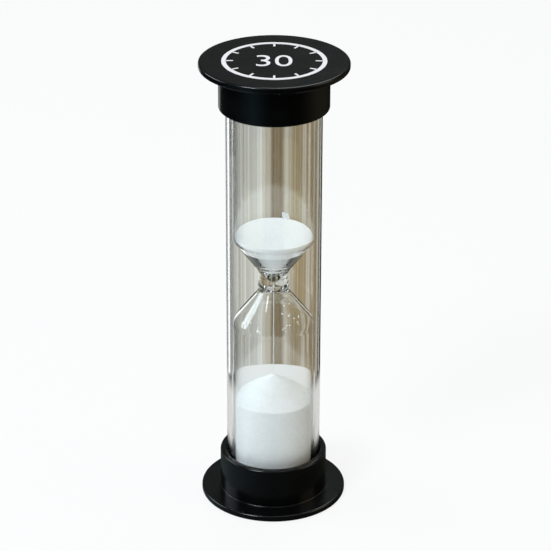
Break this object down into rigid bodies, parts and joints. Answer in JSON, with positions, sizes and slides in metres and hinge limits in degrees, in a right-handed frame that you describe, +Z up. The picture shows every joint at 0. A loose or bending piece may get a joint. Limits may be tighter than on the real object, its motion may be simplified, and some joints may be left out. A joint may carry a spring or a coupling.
{
  "type": "hourglass",
  "caption": "Small sand timer: a two-chamber glass bulb of white sand in a clear tube between two flanged black end caps.",
  "frame": {"origin": "centre of the bottom end cap's flange face, which the timer stands on", "axes": "+Z up along the glass and the tube, towards the printed end cap; +Y towards the top of the printed dial"},
  "size_m": [0.03, 0.03, 0.096],
  "materials": {
    "cap_black": "satin black moulded plastic",
    "clear_tube": "clear polished tube",
    "bulb_glass": "clear lamp-worked glass",
    "cushion_foam": "grey closed-cell foam",
    "stopper_plastic": "white moulded plug",
    "sealant": "set sealant",
    "white_sand": "fine white grains",
    "print_ink": "pad-printed ink"
  },
  "bodies": {
    "root": {"bottom_end_cap": "cap_black", "top_end_cap": "cap_black", "outer_tube": "clear_tube", "glass_bulb": "bulb_glass", "bottom_cushion": "cushion_foam", "top_cushion": "cushion_foam", "bulb_stopper": "stopper_plastic", "stopper_sealant": "sealant", "upper_sand": "white_sand", "sand_stream": "white_sand", "lower_sand": "white_sand", "dial_print": "print_ink"}
  },
  "joints": []
}
